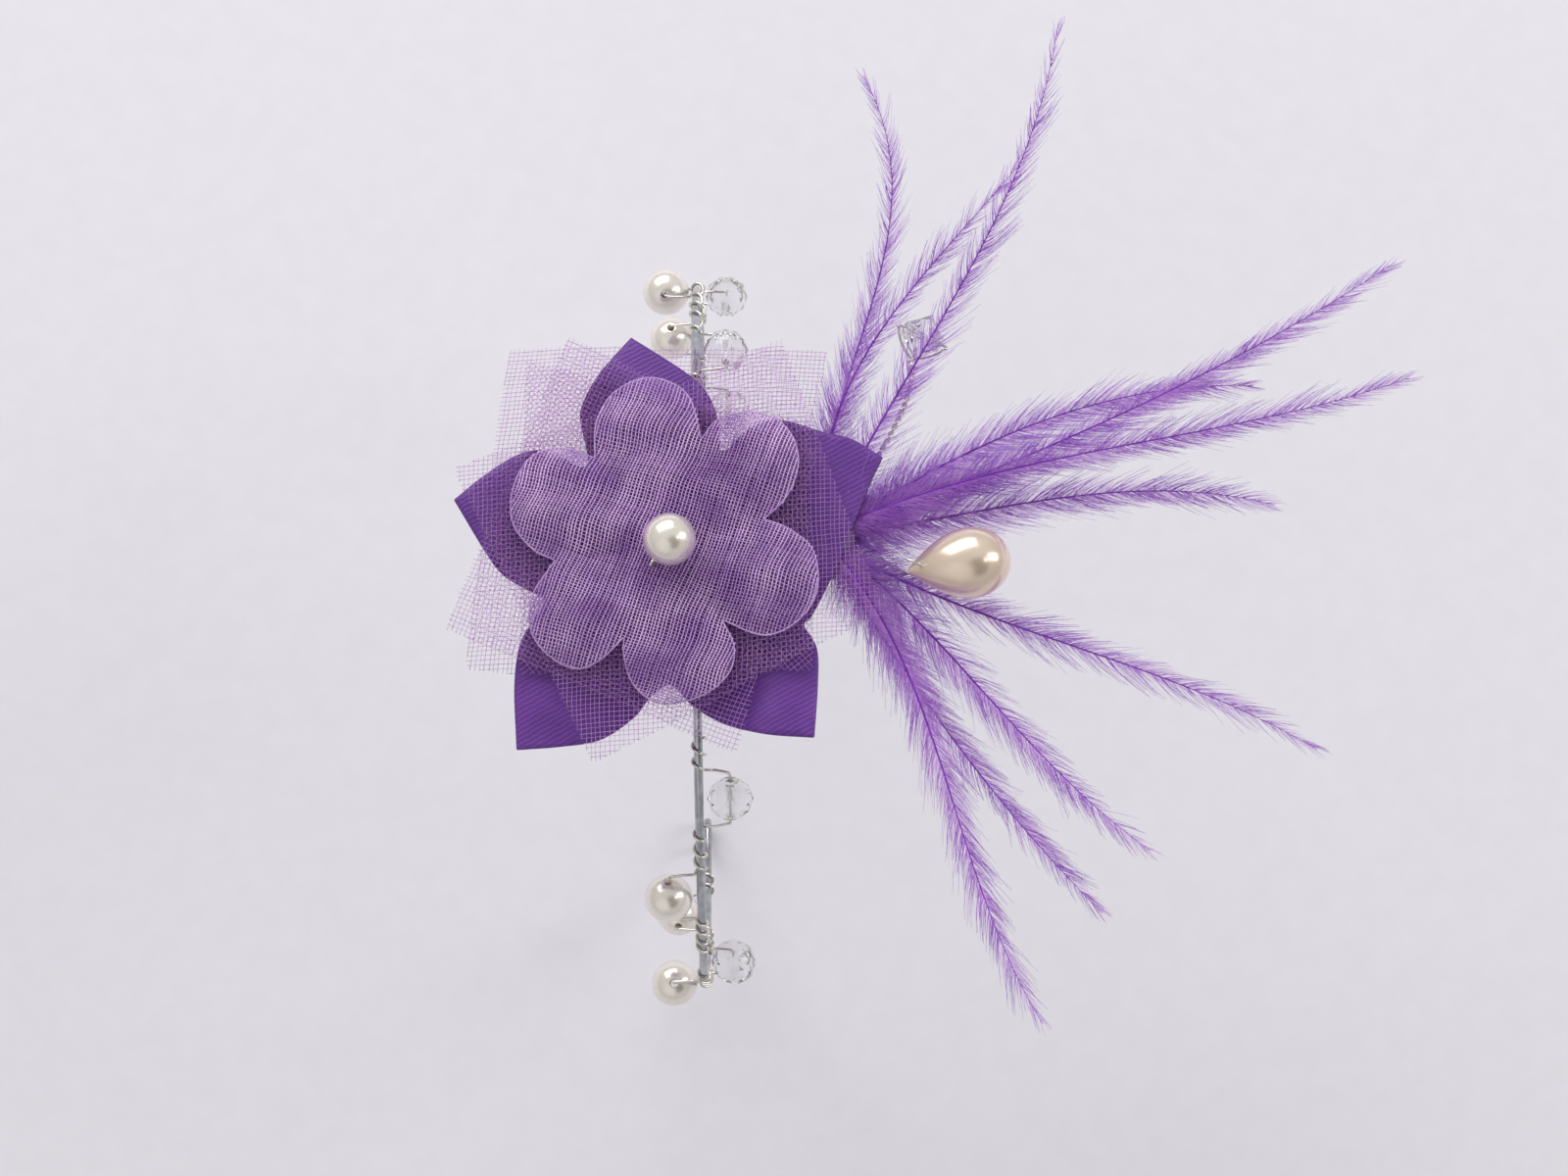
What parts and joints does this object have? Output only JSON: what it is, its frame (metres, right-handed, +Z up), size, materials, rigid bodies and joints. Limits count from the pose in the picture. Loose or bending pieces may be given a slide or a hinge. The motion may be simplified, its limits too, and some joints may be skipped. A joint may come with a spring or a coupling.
{
  "type": "flower bracelet",
  "caption": "Open wire cuff wound with pearls and crystals, topped by a satin, tulle and organza flower with a fan of feathers, a drop pearl and a crystal on a stem.",
  "frame": {"origin": "centre of the cuff's circle, on the line the wrist passes along", "axes": "+X along the wrist towards the feathers, +Z up through the middle of the flower, -Y towards the front arm; the cuff lies in the YZ plane"},
  "size_m": [0.0835, 0.0882, 0.0772],
  "materials": {
    "silver_wire": "polished silver-coloured spring wire",
    "fine_wire": "bright fine craft wire with a pale gold cast",
    "crystal": "clear cut crystal with a faint rainbow coating",
    "pearl": "ivory imitation pearl lustre",
    "drop_pearl": "champagne imitation pearl lustre with a mauve rim",
    "tulle": "fine pale lilac net",
    "satin": "deep purple satin with heat-cut edges",
    "organza": "sheer lilac organza, embossed",
    "felt": "purple felt",
    "feather": "dyed violet feather",
    "glue": "set craft glue"
  },
  "bodies": {
    "cuff": {"cuff_wire": "silver_wire", "front_wrap_wire": "fine_wire", "back_wrap_wire": "fine_wire", "flower_tie_wire": "fine_wire", "drop_stem_wire": "fine_wire", "crystal_stem_wire": "fine_wire", "tulle_back": "tulle", "tulle_front_inner": "tulle", "tulle_front_middle": "tulle", "tulle_front_outer": "tulle", "satin_flower": "satin", "organza_flower": "organza", "backing_pad": "felt", "glue_spot": "glue", "feather_01": "feather", "feather_02": "feather", "feather_03": "feather", "feather_04": "feather", "feather_05": "feather", "feather_06": "feather", "feather_07": "feather", "feather_08": "feather", "feather_09": "feather", "feather_10": "feather", "feather_11": "feather"},
    "front_crystal_1": {"front_crystal_1": "crystal"},
    "front_pearl_1": {"front_pearl_1": "pearl"},
    "front_crystal_2": {"front_crystal_2": "crystal"},
    "front_pearl_2": {"front_pearl_2": "pearl"},
    "front_crystal_3": {"front_crystal_3": "crystal"},
    "front_pearl_3": {"front_pearl_3": "pearl"},
    "back_crystal_1": {"back_crystal_1": "crystal"},
    "back_pearl_1": {"back_pearl_1": "pearl"},
    "back_crystal_2": {"back_crystal_2": "crystal"},
    "back_pearl_2": {"back_pearl_2": "pearl"},
    "back_crystal_3": {"back_crystal_3": "crystal"},
    "back_pearl_3": {"back_pearl_3": "pearl"},
    "centre_pearl": {"centre_pearl": "pearl"},
    "stem_crystal": {"stem_crystal": "crystal"},
    "drop_pearl": {"drop_pearl": "drop_pearl"}
  },
  "joints": [
    {"name": "front_crystal_1_spin", "type": "hinge", "parent": "cuff", "child": "front_crystal_1", "pos_m": [0.00275, -0.02007, 0.02683], "axis": [0, -0.8007, -0.599], "continuous": true},
    {"name": "front_pearl_1_spin", "type": "hinge", "parent": "cuff", "child": "front_pearl_1", "pos_m": [-0.00295, -0.0278, 0.01868], "axis": [0, -0.5577, -0.83], "continuous": true},
    {"name": "front_crystal_2_spin", "type": "hinge", "parent": "cuff", "child": "front_crystal_2", "pos_m": [0.00275, -0.03242, 0.00844], "axis": [0, -0.2521, -0.9677], "continuous": true},
    {"name": "front_pearl_2_spin", "type": "hinge", "parent": "cuff", "child": "front_pearl_2", "pos_m": [-0.00295, -0.03339, -0.00275], "axis": [0, 0.0819, -0.9966], "continuous": true},
    {"name": "front_crystal_3_spin", "type": "hinge", "parent": "cuff", "child": "front_crystal_3", "pos_m": [0.00275, -0.0306, -0.01363], "axis": [0, 0.4067, -0.9135], "continuous": true},
    {"name": "front_pearl_3_spin", "type": "hinge", "parent": "cuff", "child": "front_pearl_3", "pos_m": [-0.00295, -0.02438, -0.02297], "axis": [0, 0.6858, -0.7278], "continuous": true},
    {"name": "back_crystal_1_spin", "type": "hinge", "parent": "cuff", "child": "back_crystal_1", "pos_m": [0.00275, 0.02117, 0.02596], "axis": [0, 0.7749, -0.632], "continuous": true},
    {"name": "back_pearl_1_spin", "type": "hinge", "parent": "cuff", "child": "back_pearl_1", "pos_m": [-0.00295, 0.03058, 0.01368], "axis": [0, 0.4083, -0.9128], "continuous": true},
    {"name": "back_crystal_2_spin", "type": "hinge", "parent": "cuff", "child": "back_crystal_2", "pos_m": [0.00275, 0.03338, 0.0028], "axis": [0, 0.0837, -0.9965], "continuous": true},
    {"name": "back_pearl_2_spin", "type": "hinge", "parent": "cuff", "child": "back_pearl_2", "pos_m": [-0.00295, 0.03243, -0.00839], "axis": [0, -0.2504, -0.9681], "continuous": true},
    {"name": "back_crystal_3_spin", "type": "hinge", "parent": "cuff", "child": "back_crystal_3", "pos_m": [0.00275, 0.02784, -0.01864], "axis": [0, -0.5563, -0.831], "continuous": true},
    {"name": "back_pearl_3_spin", "type": "hinge", "parent": "cuff", "child": "back_pearl_3", "pos_m": [-0.00295, 0.02011, -0.02679], "axis": [0, -0.7997, -0.6004], "continuous": true},
    {"name": "centre_pearl_spin", "type": "hinge", "parent": "cuff", "child": "centre_pearl", "pos_m": [-0.0021, 0, 0.04188], "axis": [0.6018, 0.7986, 0], "continuous": true},
    {"name": "stem_crystal_spin", "type": "hinge", "parent": "cuff", "child": "stem_crystal", "pos_m": [0.02017, 0.01948, 0.03573], "axis": [-0.8918, 0.4524, 0], "continuous": true},
    {"name": "drop_pearl_swing", "type": "hinge", "parent": "cuff", "child": "drop_pearl", "pos_m": [0.01925, -0.00254, 0.04048], "axis": [0, 0, 1], "range_deg": [-20, 20]}
  ]
}
